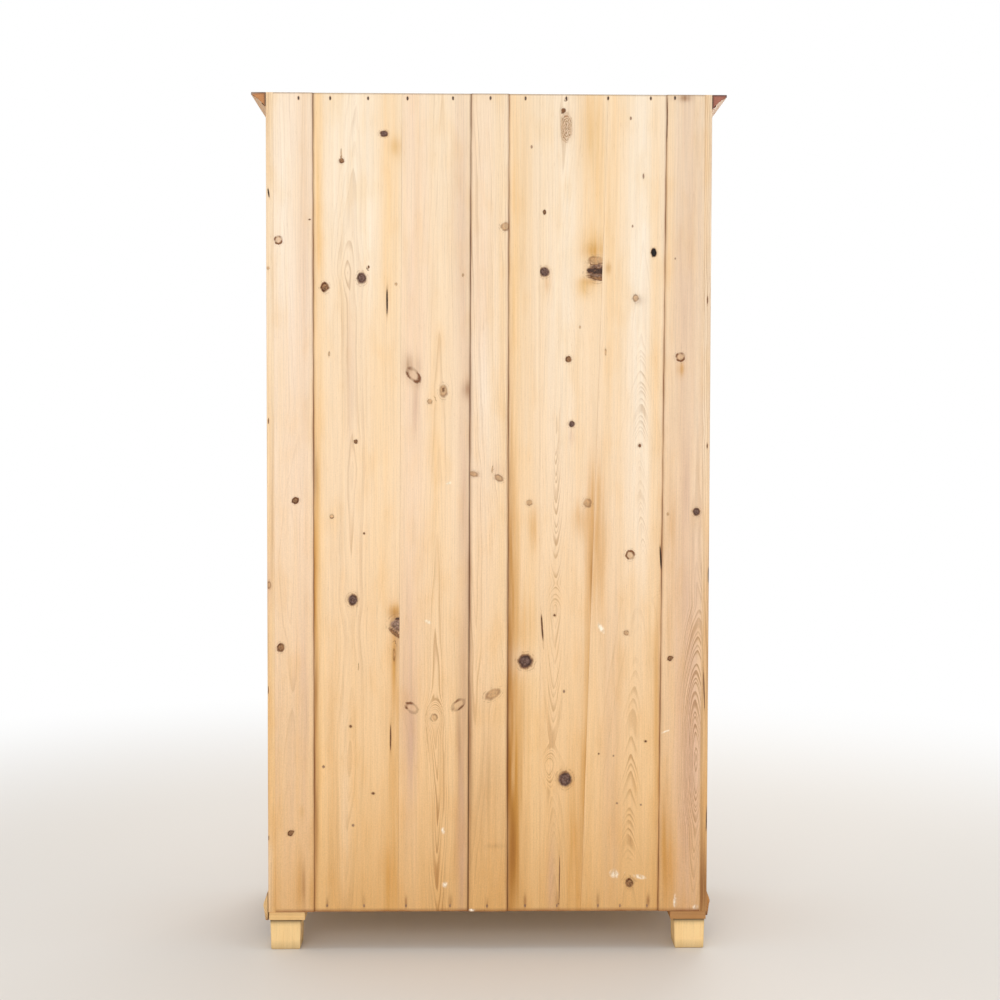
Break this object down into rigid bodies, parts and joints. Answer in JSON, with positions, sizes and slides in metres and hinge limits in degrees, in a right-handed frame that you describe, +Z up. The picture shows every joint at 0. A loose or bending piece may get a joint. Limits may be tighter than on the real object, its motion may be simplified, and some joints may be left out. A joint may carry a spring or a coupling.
{
  "type": "wardrobe",
  "caption": "Freestanding pine wardrobe with a framed plank back, mitred cornice, panelled hinged doors with lock and key, hat shelf, hanging rail and block feet.",
  "frame": {"origin": "on the floor, in the middle of the box round the whole wardrobe", "axes": "+Z up; the doors face -Y and the plank back faces +Y; +X is to the right of someone who faces the doors"},
  "size_m": [1.044, 0.5398, 1.9],
  "materials": {
    "old_pine": "waxed old pine",
    "back_pine": "stripped pine, bare and dry",
    "foot_pine": "newer pale pine",
    "cornice_pine": "stained pine",
    "dark_iron": "dark oxidised iron",
    "aged_brass": "dull aged brass"
  },
  "bodies": {
    "carcass": {"back_muntin": "back_pine", "back_panel_left": "back_pine", "back_panel_right": "back_pine", "back_stile_left": "back_pine", "back_stile_right": "back_pine", "base_moulding_front": "old_pine", "base_moulding_left": "old_pine", "base_moulding_right": "old_pine", "bottom_board": "old_pine", "bottom_rail": "old_pine", "cornice_front": "cornice_pine", "cornice_left": "cornice_pine", "cornice_right": "cornice_pine", "foot_front_left": "foot_pine", "foot_front_right": "foot_pine", "foot_plate_front_left": "old_pine", "foot_plate_front_right": "old_pine", "foot_plate_rear_left": "old_pine", "foot_plate_rear_right": "old_pine", "foot_rear_left": "foot_pine", "foot_rear_right": "foot_pine", "frieze_rail": "old_pine", "front_stile_left": "old_pine", "front_stile_right": "old_pine", "hanging_rail": "old_pine", "hat_shelf": "old_pine", "hinge_left_lower_frame_leaf": "dark_iron", "hinge_left_upper_frame_leaf": "dark_iron", "hinge_right_lower_frame_leaf": "dark_iron", "hinge_right_upper_frame_leaf": "dark_iron", "rail_socket_left": "old_pine", "rail_socket_right": "old_pine", "side_left": "old_pine", "side_right": "old_pine", "top_board": "old_pine"},
    "door_left": {"door_left_bottom_rail": "old_pine", "door_left_hinge_stile": "old_pine", "door_left_lower_panel": "old_pine", "door_left_meeting_stile": "old_pine", "door_left_middle_rail": "old_pine", "door_left_top_rail": "old_pine", "door_left_upper_panel": "old_pine", "hinge_left_lower_door_leaf": "dark_iron", "hinge_left_upper_door_leaf": "dark_iron", "bolt_plate": "dark_iron"},
    "door_right": {"door_right_bottom_rail": "old_pine", "door_right_hinge_stile": "old_pine", "door_right_lower_panel": "old_pine", "door_right_meeting_stile": "old_pine", "door_right_middle_rail": "old_pine", "door_right_top_rail": "old_pine", "door_right_upper_panel": "old_pine", "hinge_right_lower_door_leaf": "dark_iron", "hinge_right_upper_door_leaf": "dark_iron", "meeting_bead": "old_pine", "lock_case": "dark_iron", "escutcheon": "aged_brass"},
    "key": {"key": "aged_brass"},
    "lock_bolt": {"lock_bolt": "dark_iron"},
    "slide_bolt": {"slide_bolt": "dark_iron"}
  },
  "joints": [
    {"name": "door_left_swing", "type": "hinge", "parent": "carcass", "child": "door_left", "pos_m": [-0.4335, -0.2351, 0.97], "axis": [0, 0, -1], "range_deg": [0, 165]},
    {"name": "door_right_swing", "type": "hinge", "parent": "carcass", "child": "door_right", "pos_m": [0.4335, -0.2351, 0.97], "axis": [0, 0, 1], "range_deg": [0, 165]},
    {"name": "key_turn", "type": "hinge", "parent": "door_right", "child": "key", "pos_m": [0.0395, -0.2301, 1.02], "axis": [0, -1, 0], "range_deg": [0, 180]},
    {"name": "lock_bolt_throw", "type": "slide", "parent": "door_right", "child": "lock_bolt", "axis": [-1, 0, 0], "range_m": [0, 0.01]},
    {"name": "slide_bolt_throw", "type": "slide", "parent": "door_left", "child": "slide_bolt", "axis": [0, 0, 1], "range_m": [0, 0.014]}
  ],
  "couplings": [
    {"joint": "lock_bolt_throw", "follows": "key_turn", "m_per_rad": 0.00318}
  ]
}
